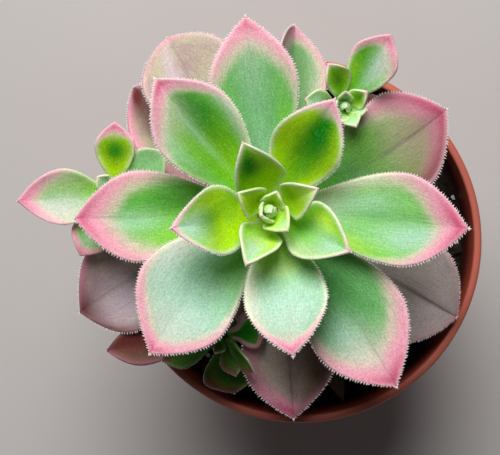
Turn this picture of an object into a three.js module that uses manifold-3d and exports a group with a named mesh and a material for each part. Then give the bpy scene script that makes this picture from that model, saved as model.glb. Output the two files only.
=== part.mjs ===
// A potted aeonium: one large leafy rosette and three side rosettes on a branching woody stem,
// standing in soil in a round plastic pot. Millimetres, +Z up. The origin is the middle of the
// pot's underside, and the pot stands on the plane z = 0.

import * as THREE from 'three';
import { mergeVertices } from 'three/addons/utils/BufferGeometryUtils.js';
import Module from 'manifold-3d';

const wasm = await Module();
wasm.setup();

// ---------------------------------------------------------------- driving dimensions

const GAP = 0.3; // clearance kept between neighbouring pieces

const LIP_RADIUS = 52; // outer edge of the pot's rolled lip
const POT_HEIGHT = 88;
const POT_WALL = 1.8;
const LIP_WIDTH = 2.3;
const COLLAR_HEIGHT = 15; // the wider band below the lip
const COLLAR_STEP = 3; // how far the collar stands out from the tapered body
const FOOT_RADIUS = 36;
const PAD_RADIUS = 14; // flat middle of the underside
const CHANNEL_HEIGHT = 2; // raised ring that the drain holes open into
const CHANNEL_OUTER = 30;
const DRAIN_HOLES = 6;
const DRAIN_RADIUS = 3.5;
const DRAIN_RING = 22;
const POT_SIDES = 44;

const SHOULDER = POT_HEIGHT - COLLAR_HEIGHT; // where the collar begins
const COLLAR_OUTER = LIP_RADIUS - 1.6;
const COLLAR_INNER = LIP_RADIUS - LIP_WIDTH - 1.2;
const BODY_OUTER = COLLAR_OUTER - COLLAR_STEP;
const BODY_INNER = BODY_OUTER - POT_WALL;
const POT_FLOOR = CHANNEL_HEIGHT + POT_WALL; // upper side of the raised ring

const SOIL_TOP = 76;
const SOIL_RELIEF = 0.7; // how far crumbs of soil rise and fall
const SOIL_SIDES = 36;
const SOIL_RINGS = [40, 31, 22, 12]; // radii at which the soil's surface rises and falls

const CROWN = { x: -9.2, y: 8.1 }; // the upright axis of the main rosette
const STEM_TIP = 125; // where the stem ends and the heart begins
const STEM_TIP_RADIUS = 3.2;
const STEM_FOOT_RADIUS = 6.4;
const BRANCH_RADIUS = 3.4; // where a branch leaves the main stem
const TRUNK = [
  [1, -1, 38],
  [0, 0, 62],
  [-2, 2, 80],
  [CROWN.x + 1.2, CROWN.y - 1.2, 96],
  [CROWN.x, CROWN.y, 108],
];

const LEAF_WAIST = 0.28; // width at a leaf's root, as a share of its widest
const LEAF_EDGE = 0.7; // thickness along a leaf's margin
const LEAF_TIP_WIDTH = 0.5;
const TIP_ROUNDNESS = 1.9; // higher values make the end of a blade blunter
const TIGHTEST_BEND = 0.9; // radius that a blade's section isn't curved more tightly than
const ROOT_DEPTH = 1.2; // a root begins this far from the axis, inside the stem
const MIDRIB_STEPS = 24;
const LEAF_ROWS = [0, 0.1, 0.21, 0.33, 0.45, 0.57, 0.68, 0.78, 0.87, 0.95, 1];
const SMALL_LEAF_ROWS = [0, 0.18, 0.38, 0.56, 0.72, 0.87, 1];
const LEAF_COLUMNS = [-1, -0.55, 0, 0.55, 1];
const MARGIN_WAVE = 0.3; // height of the slow wave along a margin
const WAVE_COUNT = 2.5;
const FULL_WAVE_WIDTH = 20; // narrower blades wave less
const ROLL_LENGTH = 0.4; // share of the length over which a blade turns about its midrib

// ---------------------------------------------------------------- colours

const GREEN = 0x86b765;
const YELLOW_GREEN = 0xb5d26a;
const MAUVE = 0x8d7a80;
const PINK_GREEN = 0xa9a98a;
const BARK = 0x8a6a4c;
const TERRACOTTA = 0xb4553a;
const SOIL = 0x1d1714;
const WITHERED = 0x3a2622;

// ---------------------------------------------------------------- the leaves
//
// turn    compass direction of the tip, degrees counter-clockwise from +X
// reach   level distance from the rosette's axis to the tip
// width   widest part of the blade
// root    height of the leaf's root on the axis
// slope   degrees above level: at the root, the pull of the middle, and at the tip
// cup     half of the angle through which the blade's section is curved
// roll    how far the blade is turned about its own midrib
// bow     how far the midrib swings to its left between root and tip
// middle  share of the length at which the blade is widest

function leaf(turn, reach, width, root, slope, cup, more = {}) {
  return { turn, reach, width, root, slope, cup, roll: 0, bow: 0, middle: 0.67, ...more };
}

// The large leaves of the main rosette, from the fourth, next to the heart, to the oldest. Each
// stands 137.5 degrees clockwise of the one above it, give or take a few degrees.
const FIRST_MAIN_LEAF = 4;
const FIRST_MAUVE_LEAF = 18;
const MAIN_LEAVES = [
  leaf(25, 13.5, 11.4, 123.4, [15, 120, 24], 46, { middle: 0.5 }),
  leaf(246, 15.2, 12.8, 122.3, [15, 115, 22], 44, { middle: 0.5, bow: 0.4 }),
  leaf(112, 18.8, 15, 121.1, [15, 105, 20], 42, { middle: 0.52, bow: -0.8 }),
  leaf(333, 22.9, 16.6, 119.9, [16, 90, 18], 38, { middle: 0.56, bow: 0.4 }),
  leaf(190, 25.6, 19.4, 118.7, [18, 84, 16], 36, { middle: 0.58 }),
  leaf(60, 32.8, 19.6, 117.4, [20, 64, 16], 30, { middle: 0.62 }),
  leaf(279, 37.6, 22.4, 116, [22, 48, 12], 26, { middle: 0.64, bow: 0.7 }),
  leaf(131, 45.2, 23.4, 114.7, [22, 32, 10], 24),
  leaf(355, 52, 25, 113.5, [22, 18, 8], 22, { bow: 1 }),
  leaf(230, 48.6, 28.4, 112.1, [24, 18, 6], 22, { bow: -2.9 }),
  leaf(97, 51.7, 24, 111, [20, 16, 6], 22),
  leaf(306, 57.4, 28, 109.7, [18, 11, 2], 20, { bow: 2 }),
  leaf(182, 52.1, 25, 108.3, [16, 10, 2], 20),
  leaf(30, 55.8, 28.6, 107.2, [8, 8, -8], 22, { bow: -2.2, middle: 0.72 }),
  leaf(277, 58, 26.4, 105.8, [-12, -6, -6], 20, { bow: 0.9, middle: 0.7 }),
  leaf(120, 57, 27.6, 104.9, [2, 12, -48], 18, { middle: 0.72 }),
  leaf(331, 61, 29, 102.9, [-2, 10, -42], 20, { bow: 0.4, middle: 0.73 }),
  leaf(208, 60.2, 27.8, 101.95, [-2, 2, -26], 18, { bow: -2.2, middle: 0.74 }),
  leaf(82, 53, 26, 99.9, [6, 6, -24], 60, { roll: 48, middle: 0.74 }),
  leaf(292, 58, 9, 96, [4, -8, -24], 50, { name: 'withered_leaf', color: WITHERED }),
  leaf(137, 52.2, 23, 98, [4, 10, -44], 24, { bow: 1.4 }),
];

// The bud and the youngest leaves, from the inside out.
const HEART_LEAVES = [
  leaf(124, 0.9, 2.6, 126.8, [70, 95, 100], 80, { middle: 0.4 }),
  leaf(347, 1.4, 3.4, 126.6, [40, 110, 95], 80, { middle: 0.4 }),
  leaf(209, 2.2, 4.2, 126.4, [30, 115, 85], 76, { middle: 0.4 }),
  leaf(72, 5.2, 5.6, 126.2, [15, 120, 40], 66, { middle: 0.42 }),
  leaf(309, 6.9, 7.2, 126, [15, 120, 34], 60, { middle: 0.44 }),
  leaf(152, 9, 9.4, 125.8, [15, 122, 28], 54, { middle: 0.46 }),
];

// The side rosettes. A branch leaves the main stem at start, passes bend and ends at neck.
const ROSETTE_A = {
  name: 'side_rosette_a', x: 11.2, y: 36.2, neck: 109, core: 2.4,
  start: [-2, 3, 82],
  bend: [5, 24, 94],
  leaves: [
    leaf(58, 22, 13.8, 111, [35, 30, 22], 30),
    leaf(358, 11, 8.5, 109.4, [5, 4, 0], 30),
    leaf(114, 12, 8.6, 112, [30, 70, 34], 46, { roll: 16, bow: -0.8 }),
    leaf(170, 11, 8, 110, [25, 45, 30], 40),
    leaf(28, 6.5, 5.4, 113.2, [20, 90, 40], 44, { middle: 0.5 }),
    leaf(245, 5.6, 5, 114, [20, 90, 40], 44, { middle: 0.5 }),
    leaf(310, 6, 5.2, 113.6, [20, 90, 40], 44, { middle: 0.5 }),
    leaf(90, 3.4, 3.8, 114.2, [30, 110, 60], 60, { middle: 0.5 }),
    leaf(200, 2.4, 3.2, 114.6, [40, 110, 80], 60, { middle: 0.5 }),
  ],
};

const ROSETTE_B = {
  name: 'side_rosette_b', x: -51, y: 13.5, neck: 101, core: 2.4,
  start: [-3, 2, 82],
  bend: [-34, 10, 90],
  leaves: [
    leaf(185, 26.8, 17, 103, [20, 14, 4], 44, { middle: 0.52 }),
    leaf(90, 19, 11.6, 103.6, [30, 24, 16], 28),
    leaf(240, 20, 12, 102.4, [14, 8, 4], 28),
    leaf(39, 17.5, 11, 104, [16, 18, 12], 34),
    leaf(322, 14, 9, 103.2, [14, 14, 14], 34),
    leaf(140, 6.5, 5.4, 105, [25, 55, 35], 44),
    leaf(277, 6.5, 5.4, 105.4, [25, 60, 40], 46),
    leaf(55, 4, 4.2, 106, [30, 90, 60], 54),
  ],
};

const ROSETTE_C = {
  name: 'side_rosette_c', x: -21.3, y: -26, neck: 98, core: 2.4,
  start: [-1, 0, 80],
  bend: [-15, -18, 88],
  leaves: [
    leaf(188, 33.6, 12.4, 98, [0, -3, -8], 30, { bow: -0.6 }),
    leaf(202, 18.8, 9.4, 99.6, [12, 8, 4], 34),
    leaf(279, 16.8, 14.4, 98.4, [0, -4, -12], 24, { bow: -1 }),
    leaf(286, 11.2, 7.4, 101.4, [24, 30, 24], 44),
    leaf(312, 12.4, 7, 103.6, [34, 42, 38], 40, { roll: 56 }),
    leaf(14, 11.2, 11, 103, [20, 26, -16], 26),
    leaf(130, 11, 8, 100.8, [20, 30, 24], 34),
    leaf(75, 7, 5.6, 102.2, [25, 60, 40], 46),
    leaf(240, 5, 4.6, 103, [30, 75, 50], 50),
  ],
};

const SIDE_ROSETTES = [ROSETTE_A, ROSETTE_B, ROSETTE_C];

// ---------------------------------------------------------------- solids

const radians = THREE.MathUtils.degToRad;

function solidOf(geometry) {
  const bare = geometry.clone();
  bare.deleteAttribute('normal');
  bare.deleteAttribute('uv');
  const merged = mergeVertices(bare, 1e-4);
  const vertProperties = new Float32Array(merged.attributes.position.array);
  const triVerts = new Uint32Array(merged.index.array);
  return new wasm.Manifold(new wasm.Mesh({ numProp: 3, vertProperties, triVerts }));
}

function geometryOf(solid) {
  const { vertProperties, triVerts } = solid.getMesh();
  const geometry = new THREE.BufferGeometry();
  geometry.setAttribute('position', new THREE.BufferAttribute(vertProperties, 3));
  geometry.setIndex(new THREE.BufferAttribute(triVerts, 1));
  geometry.computeVertexNormals();
  return geometry;
}

function turned(profile, sides) {
  const points = profile.map(([radius, height]) => new THREE.Vector2(radius, height));
  return new THREE.LatheGeometry(points, sides).rotateX(Math.PI / 2);
}

function surface(points, triangles) {
  const geometry = new THREE.BufferGeometry();
  const coordinates = points.flatMap((point) => point.toArray());
  geometry.setAttribute('position', new THREE.Float32BufferAttribute(coordinates, 3));
  geometry.setIndex(triangles);
  return geometry;
}

// A tapered round limb along a smooth curve through the given points.
function limb(points, startRadius, endRadius, sides, steps) {
  const curve = new THREE.CatmullRomCurve3(points.map((point) => new THREE.Vector3(...point)));
  const frames = curve.computeFrenetFrames(steps);
  const ring = [];
  const triangles = [];
  for (let i = 0; i <= steps; i += 1) {
    const share = i / steps;
    const centre = curve.getPointAt(share);
    const radius = THREE.MathUtils.lerp(startRadius, endRadius, share);
    for (let j = 0; j < sides; j += 1) {
      const angle = (2 * Math.PI * j) / sides;
      const point = centre.clone();
      point.addScaledVector(frames.normals[i], radius * Math.cos(angle));
      point.addScaledVector(frames.binormals[i], radius * Math.sin(angle));
      ring.push(point);
    }
  }
  for (let i = 0; i < steps; i += 1) {
    for (let j = 0; j < sides; j += 1) {
      const a = i * sides + j;
      const b = i * sides + ((j + 1) % sides);
      triangles.push(a, b, b + sides, a, b + sides, a + sides);
    }
  }
  const last = steps * sides;
  for (let j = 1; j < sides - 1; j += 1) {
    triangles.push(0, j + 1, j, last, last + j, last + j + 1);
  }
  return solidOf(surface(ring, triangles));
}

// ---------------------------------------------------------------- one leaf

// Slope of the midrib, in radians, at the share s of its length.
function slopeAt([root, pull, tip], s) {
  return radians((1 - s) ** 2 * root + 2 * s * (1 - s) * pull + s ** 2 * tip);
}

// How far a midrib of unit length has come, outwards and upwards, at the share s.
function midrib(slopes, s) {
  let out = 0;
  let up = 0;
  for (let i = 0; i < MIDRIB_STEPS; i += 1) {
    const slope = slopeAt(slopes, (s * (i + 0.5)) / MIDRIB_STEPS);
    out += (Math.cos(slope) * s) / MIDRIB_STEPS;
    up += (Math.sin(slope) * s) / MIDRIB_STEPS;
  }
  return { out, up };
}

function widthShare(shape, s) {
  if (s < shape.middle) {
    const swell = Math.sin((Math.PI / 2) * (s / shape.middle)) ** 2;
    return LEAF_WAIST + (1 - LEAF_WAIST) * swell;
  }
  return 1 - ((s - shape.middle) / (1 - shape.middle)) ** TIP_ROUNDNESS;
}

// A blade is thickest along its midrib and thins out towards its margins and its tip. A broad
// leaf is a thick one.
function thicknessAt(shape, s, t) {
  const root = Math.min(2.4, 1 + 0.07 * shape.width);
  const middle = Math.min(2.2, 0.8 + 0.06 * shape.width);
  const core = THREE.MathUtils.lerp(root, middle, Math.min(1, 2 * s)) * (1 - 0.45 * s ** 4);
  return LEAF_EDGE + Math.max(0, core - LEAF_EDGE) * (1 - Math.abs(t) ** 2.5);
}

// The middle of the blade at s, from root to tip, and t, from right margin to left, with the
// direction that its upper face looks in.
function bladePoint(shape, axis, s, t) {
  const length = (shape.reach - ROOT_DEPTH) / midrib(shape.slope, 1).out;
  const way = midrib(shape.slope, s);
  const out = ROOT_DEPTH + length * way.out;
  const up = shape.root + length * way.up;
  const slope = slopeAt(shape.slope, s);

  const half = Math.max(LEAF_TIP_WIDTH / 2, (shape.width / 2) * widthShare(shape, s));
  const cup = Math.min(radians(shape.cup) * (1.15 - 0.3 * s), half / TIGHTEST_BEND);
  const height = MARGIN_WAVE * Math.min(1, shape.width / FULL_WAVE_WIDTH);
  const wave = height * Math.sin(2 * Math.PI * WAVE_COUNT * s + shape.turn) * t * t;
  const side = (half / cup) * Math.sin(cup * t);
  const lift = (half / cup) * (1 - Math.cos(cup * t)) + wave;

  const roll = radians(shape.roll) * Math.min(1, s / ROLL_LENGTH);
  const across = side * Math.cos(roll) - lift * Math.sin(roll);
  const above = side * Math.sin(roll) + lift * Math.cos(roll);
  const lean = cup * t + roll;

  const heading = radians(shape.turn);
  const outward = new THREE.Vector3(Math.cos(heading), Math.sin(heading), 0);
  const leftward = new THREE.Vector3(-outward.y, outward.x, 0);
  const upward = new THREE.Vector3(0, 0, 1);
  const normal = outward.clone().multiplyScalar(-Math.sin(slope));
  normal.addScaledVector(upward, Math.cos(slope));

  const point = new THREE.Vector3(axis.x, axis.y, up);
  point.addScaledVector(outward, out);
  point.addScaledVector(leftward, across + shape.bow * Math.sin(Math.PI * s));
  point.addScaledVector(normal, above);
  const facing = normal.multiplyScalar(Math.cos(lean));
  facing.addScaledVector(leftward, -Math.sin(lean));
  return { point, facing };
}

// A blade is two faces that share one pattern of triangles, closed by its margins and ends.
function blade(shape, axis, rows = LEAF_ROWS) {
  const upper = [];
  const lower = [];
  for (const s of rows) {
    for (const t of LEAF_COLUMNS) {
      const { point, facing } = bladePoint(shape, axis, s, t);
      const half = thicknessAt(shape, s, t) / 2;
      upper.push(point.clone().addScaledVector(facing, half));
      lower.push(point.clone().addScaledVector(facing, -half));
    }
  }
  const count = LEAF_COLUMNS.length;
  const below = upper.length;
  const triangles = [];
  const wall = (a, b) => triangles.push(a, a + below, b + below, a, b + below, b);
  for (let i = 0; i < rows.length - 1; i += 1) {
    for (let j = 0; j < count - 1; j += 1) {
      const a = i * count + j;
      const b = a + count;
      triangles.push(a, b, b + 1, a, b + 1, a + 1);
      triangles.push(a + below, b + 1 + below, b + below, a + below, a + 1 + below, b + 1 + below);
    }
    wall(i * count, (i + 1) * count);
    wall((i + 2) * count - 1, (i + 1) * count - 1);
  }
  const tip = (rows.length - 1) * count;
  for (let j = 0; j < count - 1; j += 1) {
    wall(j + 1, j);
    wall(tip + j, tip + j + 1);
  }
  return solidOf(surface([...upper, ...lower], triangles));
}

// ---------------------------------------------------------------- pot and soil

function pot() {
  const top = POT_HEIGHT;
  const body = turned([
    [0, 0],
    [PAD_RADIUS, 0],
    [PAD_RADIUS + 1.5, CHANNEL_HEIGHT],
    [CHANNEL_OUTER - 1.5, CHANNEL_HEIGHT],
    [CHANNEL_OUTER, 0],
    [FOOT_RADIUS, 0],
    [BODY_OUTER, SHOULDER - 1],
    [COLLAR_OUTER, SHOULDER],
    [LIP_RADIUS - 0.7, top - 2.2],
    [LIP_RADIUS, top - 1.2],
    [LIP_RADIUS - 0.6, top],
    [LIP_RADIUS - LIP_WIDTH + 0.4, top],
    [LIP_RADIUS - LIP_WIDTH, top - 1],
    [COLLAR_INNER, SHOULDER + 1.6],
    [BODY_INNER, SHOULDER - 1],
    [FOOT_RADIUS - POT_WALL, POT_FLOOR],
    [PAD_RADIUS + 0.6, POT_FLOOR],
    [PAD_RADIUS - 0.8, POT_WALL],
    [0, POT_WALL],
  ], POT_SIDES);
  let solid = solidOf(body);
  for (let i = 0; i < DRAIN_HOLES; i += 1) {
    const angle = (2 * Math.PI * i) / DRAIN_HOLES;
    const drill = new THREE.CylinderGeometry(DRAIN_RADIUS, DRAIN_RADIUS, 4 * POT_FLOOR, 12);
    drill.rotateX(Math.PI / 2);
    drill.translate(DRAIN_RING * Math.cos(angle), DRAIN_RING * Math.sin(angle), 0);
    solid = solid.subtract(solidOf(drill));
  }
  return solid;
}

function soilRelief(x, y) {
  return SOIL_RELIEF * (Math.sin(0.31 * x + 0.17 * y) + Math.sin(0.23 * y - 0.27 * x + 2));
}

function soil(stemHole) {
  const floor = POT_FLOOR + GAP;
  const rim = COLLAR_INNER - GAP;
  const block = turned([
    [0, floor],
    [FOOT_RADIUS - POT_WALL - GAP, floor],
    [BODY_INNER - GAP, SHOULDER - 0.8],
    [rim, SHOULDER + 1.9],
    [rim, SOIL_TOP],
    ...SOIL_RINGS.map((radius) => [radius, SOIL_TOP]),
    [0, SOIL_TOP],
  ], SOIL_SIDES);
  const places = block.attributes.position;
  for (let i = 0; i < places.count; i += 1) {
    const x = places.getX(i);
    const y = places.getY(i);
    if (places.getZ(i) > SOIL_TOP - 0.1 && Math.hypot(x, y) < rim - 0.7) {
      places.setZ(i, SOIL_TOP + soilRelief(x, y));
    }
  }
  return solidOf(block).subtract(stemHole);
}

// ---------------------------------------------------------------- stems

function branch({ x, y, neck, core: tipRadius, start, bend }, extra) {
  const route = [start, bend, [x, y, neck - 5], [x, y, neck]];
  return limb(route, BRANCH_RADIUS + extra, tipRadius + extra, 8, 7);
}

// The main stem with its branches, or, with extra thickness, the room that they take.
function stems(extra = 0) {
  const route = [...TRUNK, [CROWN.x, CROWN.y, STEM_TIP + extra]];
  const trunk = limb(route, STEM_FOOT_RADIUS + extra, STEM_TIP_RADIUS + extra, 10, 12);
  return SIDE_ROSETTES.reduce((whole, rosette) => whole.add(branch(rosette, extra)), trunk);
}

// ---------------------------------------------------------------- rosettes

// The short knob that holds a head of small leaves together.
function knob(axis, radius, low, high) {
  const middle = (low + high) / 2;
  const shape = turned([[0, low], [radius, low], [radius, middle], [radius / 2, high], [0, high]], 8);
  return solidOf(shape.translate(axis.x, axis.y, 0));
}

function head(centre, leaves, axis) {
  return leaves.reduce((whole, each) => whole.add(blade(each, axis, SMALL_LEAF_ROWS)), centre);
}

function heart() {
  const centre = knob(CROWN, STEM_TIP_RADIUS - 0.4, STEM_TIP + GAP, STEM_TIP + 5);
  return head(centre, HEART_LEAVES, CROWN);
}

function sideRosette(rosette) {
  const centre = knob(rosette, rosette.core + 0.6, rosette.neck + GAP, rosette.neck + 6);
  return head(centre, rosette.leaves, rosette);
}

// ---------------------------------------------------------------- the plant in its pot

const plant = new THREE.Group();

function place(name, solid, color, roughness) {
  const material = new THREE.MeshStandardMaterial({ color, roughness, metalness: 0 });
  const mesh = new THREE.Mesh(geometryOf(solid), material);
  mesh.name = name;
  plant.add(mesh);
}

const stemRoom = stems(GAP);

place('pot', pot(), TERRACOTTA, 0.55);
place('soil', soil(stemRoom), SOIL, 0.95);
place('stem', stems(), BARK, 0.85);
place('heart', heart(), YELLOW_GREEN, 0.5);
MAIN_LEAVES.forEach((each, i) => {
  const number = FIRST_MAIN_LEAF + i;
  const name = each.name ?? `leaf_${String(number).padStart(2, '0')}`;
  const color = each.color ?? (number < FIRST_MAUVE_LEAF ? GREEN : MAUVE);
  place(name, blade(each, CROWN).subtract(stemRoom), color, 0.55);
});
for (const rosette of SIDE_ROSETTES) {
  place(rosette.name, sideRosette(rosette).subtract(stemRoom), PINK_GREEN, 0.55);
}

export default plant;
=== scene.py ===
"""A potted aeonium seen from straight above: fine leaf blades with fringed margins, a bud, side
rosettes, a woody stem, crumbly soil and a moulded pot, all worked out in millimetres."""

import math
import random
from dataclasses import dataclass, field

import bmesh
import bpy
from mathutils import Matrix, Vector, kdtree, noise


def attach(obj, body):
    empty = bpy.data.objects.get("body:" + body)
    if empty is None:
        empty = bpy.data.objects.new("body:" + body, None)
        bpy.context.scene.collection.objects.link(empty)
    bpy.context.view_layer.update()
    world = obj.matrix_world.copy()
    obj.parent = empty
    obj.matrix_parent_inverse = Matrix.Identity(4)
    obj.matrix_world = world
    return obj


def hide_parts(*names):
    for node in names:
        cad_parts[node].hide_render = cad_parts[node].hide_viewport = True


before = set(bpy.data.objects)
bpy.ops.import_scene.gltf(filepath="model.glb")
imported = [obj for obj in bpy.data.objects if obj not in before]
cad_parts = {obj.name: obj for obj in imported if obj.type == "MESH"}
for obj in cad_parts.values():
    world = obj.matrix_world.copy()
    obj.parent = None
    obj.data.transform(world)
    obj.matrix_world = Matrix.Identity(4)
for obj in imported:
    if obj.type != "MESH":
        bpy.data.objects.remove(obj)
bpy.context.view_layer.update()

MM = 0.001

# ---------- sizes in millimetres, and counts, shares and seeds

LIP_RADIUS = 52
POT_HEIGHT = 88
POT_WALL = 1.8
LIP_WIDTH = 2.3
LIP_DEPTH = 2.4
LIP_OVERHANG = 1.6
LIP_ROUND = 0.9
LIP_INNER_ROUND = 0.7
COLLAR_HEIGHT = 15
COLLAR_STEP = 3
COLLAR_DRAFT = 1.2
COLLAR_ROUND = 0.5
FOOT_RADIUS = 36
FOOT_ROUND = 0.8
PAD_RADIUS = 14
CHANNEL_HEIGHT = 2
CHANNEL_OUTER = 30
CHANNEL_SLANT = 1.5
DRAIN_HOLES = 6
DRAIN_RADIUS = 3.5
DRAIN_RING = 22
POT_STEPS = 144
CORNER_STEPS = 5
CRISP_EDGE = 32  # degrees

SHOULDER = POT_HEIGHT - COLLAR_HEIGHT
COLLAR_OUTER = LIP_RADIUS - LIP_OVERHANG
COLLAR_INNER = LIP_RADIUS - LIP_WIDTH - COLLAR_DRAFT
BODY_OUTER = COLLAR_OUTER - COLLAR_STEP
BODY_INNER = BODY_OUTER - POT_WALL
POT_FLOOR = CHANNEL_HEIGHT + POT_WALL

GAP = 0.3
SOIL_TOP = 76
SOIL_RELIEF = 0.7
SOIL_WAVES = [(0.31, 0.17, 0), (-0.27, 0.23, 2)]  # crossing swells: angle per mm along X and Y, start
SOIL_ROUGHNESS = 0.7
SOIL_LUMP = 2.6
SOIL_RINGS = 60
SOIL_STEPS = 150
SOIL_SEED = 7
BARE_SOIL_RIM = 1.6
CRUMBS = 1500
CRUMB_SIZES = (0.35, 1.15)
CRUMB_SQUAT = 0.75
PERLITE_GRAINS = 46
PERLITE_SIZES = (0.5, 1.0)
PERLITE_SQUAT = 0.9
LUMP_TILT = 0.6
LUMP_DENT = 0.14
SEEN_GRAINS = [(45.5, 12.8), (46.1, -0.6)]  # two pale grains that show beside the leaves

CROWN = (-9.2, 8.1)
STEM_TIP = 125
STEM_TIP_RADIUS = 3.2
STEM_FOOT_RADIUS = 6.4
BRANCH_RADIUS = 3.4
NECK_RADIUS = 2.4
NECK_LENGTH = 5
KNOB_HEIGHT = 4.6
STEM_VOXEL = 0.62
SCAR_HEIGHT = 0.18
SCAR_RATE = 2.1
BARK_ROUGHNESS = 0.22
BARK_GRAIN = 1.7
TRUNK = [
    (1, -1, 38),
    (0, 0, 62),
    (-2, 2, 80),
    (CROWN[0] + 1.2, CROWN[1] - 1.2, 96),
    (CROWN[0], CROWN[1], 108),
    (CROWN[0], CROWN[1], STEM_TIP),
]

LEAF_WAIST = 0.28
LEAF_EDGE = 0.7
LEAF_TIP_WIDTH = 0.5
ROOT_THICKNESS = (1, 0.07, 2.4)  # of a leaf without width, added per mm of width, and at most
MIDDLE_THICKNESS = (0.8, 0.06, 2.2)
TIP_THINNING = 0.45
TIP_BLUNTNESS = 60
MARGIN_BLUNTNESS = 14
CORE_ROUNDNESS = 2.5
TIP_ROUNDNESS = 1.9
TIGHTEST_BEND = 0.9
ROOT_DEPTH = 1.2
ROOT_CUP = 1.15
CUP_EASING = 0.3
MIDRIB_STEPS = 24
MARGIN_WAVE = 0.3
WAVE_COUNT = 2.5
FULL_WIDTH = 20  # a blade this wide has the full wave, groove and spacing of teeth
ROLL_LENGTH = 0.4
GROOVE_DEPTH = 0.24
GROOVE_WIDTH = 0.16
MERGED = 0.01  # points closer than this are one

BLADE_GRID = (56, 26)
YOUNG_GRID = (30, 18)
SIDE_GRID = (34, 18)
WITHERED_GRID = (60, 20)
COLUMN_CROWDING = 0.45
ROW_CROWDING = 1.15
YOUNG_SEED = 30
SIDE_SEED = 40
CRUMPLE_HEIGHT = 0.7
COARSE_CRUMPLE = 4
FINE_CRUMPLE = 1.6

FLUSH_START = 0.5
FLUSH_FADE = 1.3
EDGE_WIDTH = 0.85
GOLD_LOSS = 0.85
GOLDEN_ROOT = (0.1, 0.45)
AGED_FROM = (-0.1, 0.5)
RIB_FROM = (0.35, 0.8)

TEETH_START = 0.22
SMALLEST_TOOTHED_LEAF = 4
TOOTH_GROWTH = (13, 23)  # widths of leaf between which the teeth reach their full size
TOOTH_SPACING = 0.78
TOOTH_LENGTH = 0.7
TOOTH_RADIUS = 0.28
TOOTH_ROOT = 0.12

DUST_HEIGHTS = (4, 50)
# lowest height of the painted highlight along the lip
LIP_HIGHLIGHT_LOW = 84.5
# where the painted shade on the inner wall lies
INNER_SHADE_RADII = (48.7, 49.6)
INNER_SHADE_HEIGHTS = (73.5, 74.5)
GREEN_WOOD_HEIGHTS = (98, 118)

CAMERA_PLACE = (-14.3, 3.9, 538)
CAMERA_NEAR = 10
LENS = 113.4
SENSOR_WIDTH = 36
FLOOR_DROP = 0.2
FLOOR_SIZE = 3000

# ---------- the leaves


@dataclass
class Look:
    """How a leaf is coloured.

    The s of a patch runs from the root, 0, to the tip, 1, and its t from the right margin, -1, to the
    left one, 1.
    """

    tint: float  # 0 golden green, 0.5 leaf green, 1 blue green
    mauve: float = 0  # how far age has turned the blade from green to mauve
    left: float = 3  # width over which the flush fades on the left, seen with the tip pointing away
    right: float = 3  # width over which the flush fades on the right
    start: float = 0.5  # share of the length at which the flush is half grown
    tip: float = 4  # how far the flush comes down from the tip
    rose: float = 1  # strength of the flush, up to 1
    rib: float = 0.1  # strength of the dark line along the midrib
    edge: float = 0.7  # strength of the thin pale rim
    # the deep green and dark red patches also paint shade, the bloom patches a sheen, and the cream
    # patches light on shaded places
    spots: list = field(default_factory=list)  # soft patches (kind, s, t, length, breadth, amount)


@dataclass
class Leaf:
    """Where one leaf goes and how it bends."""

    turn: float  # compass direction of the tip, degrees counter-clockwise from +X
    reach: float  # level distance from the rosette's axis to the tip
    width: float  # widest part of the blade
    root: float  # height of the leaf's root on the axis
    slope: tuple  # degrees above level: at the root, the pull of the middle, and at the tip
    cup: float  # half of the angle through which the blade's section is curved
    look: Look
    roll: float = 0  # degrees by which the blade's left side is raised
    bow: float = 0  # how far the middle of the midrib swings out to the left
    middle: float = 0.67  # share of the length at which the blade is widest


# Many patches below paint light: deep green and dark red ones also paint shade, bloom ones a sheen, cream
# ones light on shaded places.
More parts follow.
